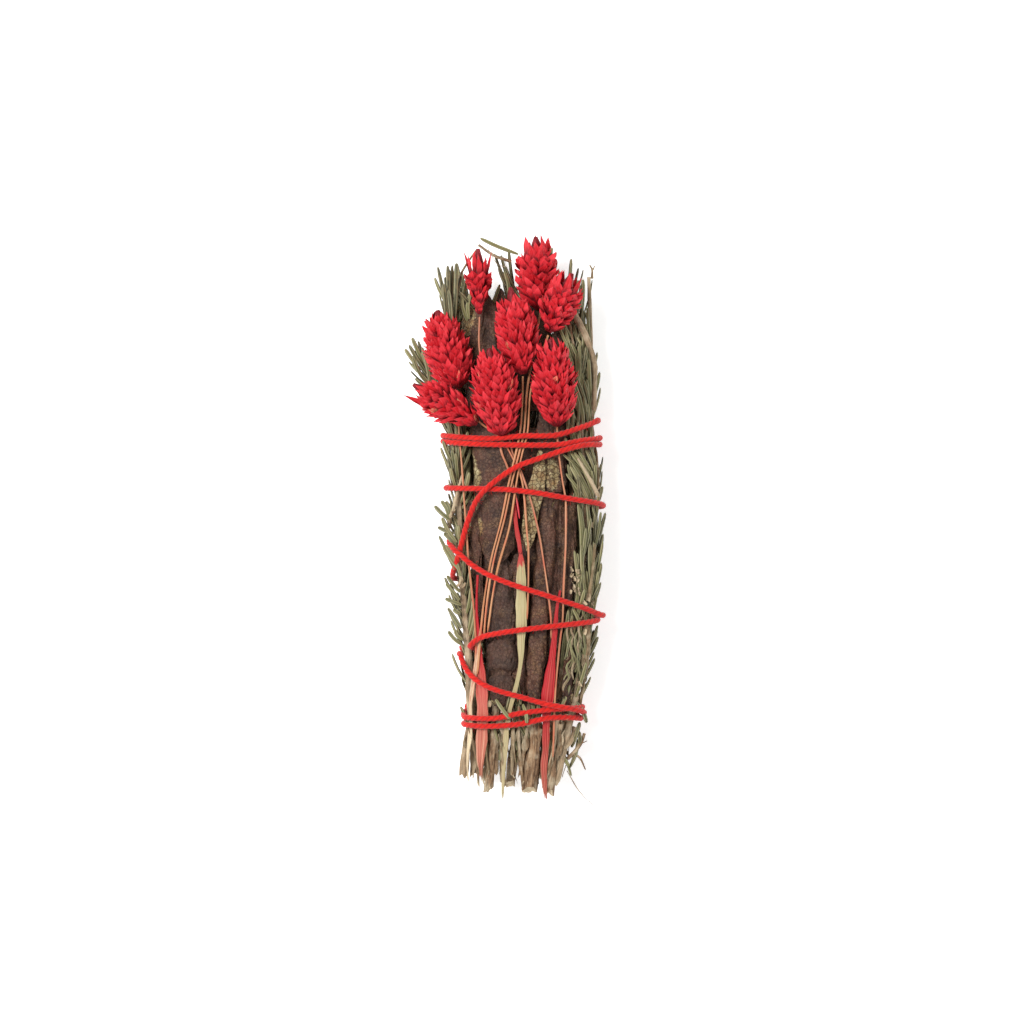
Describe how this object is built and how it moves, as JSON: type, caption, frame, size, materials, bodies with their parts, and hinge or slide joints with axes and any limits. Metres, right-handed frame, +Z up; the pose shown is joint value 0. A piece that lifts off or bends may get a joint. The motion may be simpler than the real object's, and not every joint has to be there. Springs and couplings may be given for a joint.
{
  "type": "herb smudge stick",
  "caption": "Bundle of dried rosemary sprigs and rolled resinous leaves, with crimson grass heads on straw stems laid along the front, wound and tied with red cotton string; lies on its back.",
  "frame": {"origin": "on the surface that the stick lies on, under the middle of its whole outline", "axes": "+Y from the cut ends to the heads, +Z up from the surface through the front, +X to the right seen from above with the heads at the top"},
  "size_m": [0.0668, 0.1892, 0.0434],
  "materials": {
    "red_string": "twisted three-ply scarlet cotton, matte and slightly fuzzy",
    "straw": "thin orange-tan grass stem, smooth with a soft sheen",
    "red_sheath": "papery grass sheath, crimson fading to salmon, fine lengthwise ribs",
    "pale_sheath": "papery grass sheath, cream-green, fine lengthwise ribs",
    "dried_leaf": "dried resinous leaf, dark brown and slightly glossy, pale netted veins underneath",
    "pale_leaf": "pale felted underside of a dried leaf, with a net of dark veins",
    "crimson_bract": "dyed dry grass bracts, crimson with darker clefts and a few straw-coloured edges",
    "rosemary": "dried rosemary: dull grey-green needles with a pale fold beneath, on brown bark"
  },
  "bodies": {
    "root": {"string": "red_string", "stem_left": "straw", "stem_middle_left": "straw", "stem_middle_right": "straw", "stem_pale": "straw", "stem_sheathed": "straw", "stem_crossing_left": "straw", "stem_crossing_right": "straw", "stem_right": "straw", "sheath_left_red": "red_sheath", "sheath_left_pale": "pale_sheath", "sheath_middle_red": "red_sheath", "sheath_middle_pale": "pale_sheath", "sheath_right_red": "red_sheath", "yerba_santa_upper_left": "dried_leaf", "yerba_santa_lower_left": "dried_leaf", "yerba_santa_strip": "pale_leaf", "yerba_santa_upper_right": "dried_leaf", "yerba_santa_rolled_middle": "dried_leaf", "yerba_santa_rolled_right": "dried_leaf", "yerba_santa_lower_right": "dried_leaf", "yerba_santa_inner": "dried_leaf", "yerba_santa_under": "dried_leaf", "head_small": "crimson_bract", "head_top": "crimson_bract", "head_right": "crimson_bract", "head_centre": "crimson_bract", "head_left": "crimson_bract", "head_low_left": "crimson_bract", "head_front": "crimson_bract", "head_low_right": "crimson_bract", "rosemary_left_front": "rosemary", "rosemary_left_back": "rosemary", "rosemary_back_left": "rosemary", "rosemary_back_middle": "rosemary", "rosemary_back_right": "rosemary", "rosemary_right_back": "rosemary", "rosemary_right_front": "rosemary", "rosemary_front_right": "rosemary", "rosemary_inner_left": "rosemary", "rosemary_inner_middle": "rosemary", "rosemary_inner_right": "rosemary", "rosemary_top_left": "rosemary"}
  },
  "joints": []
}
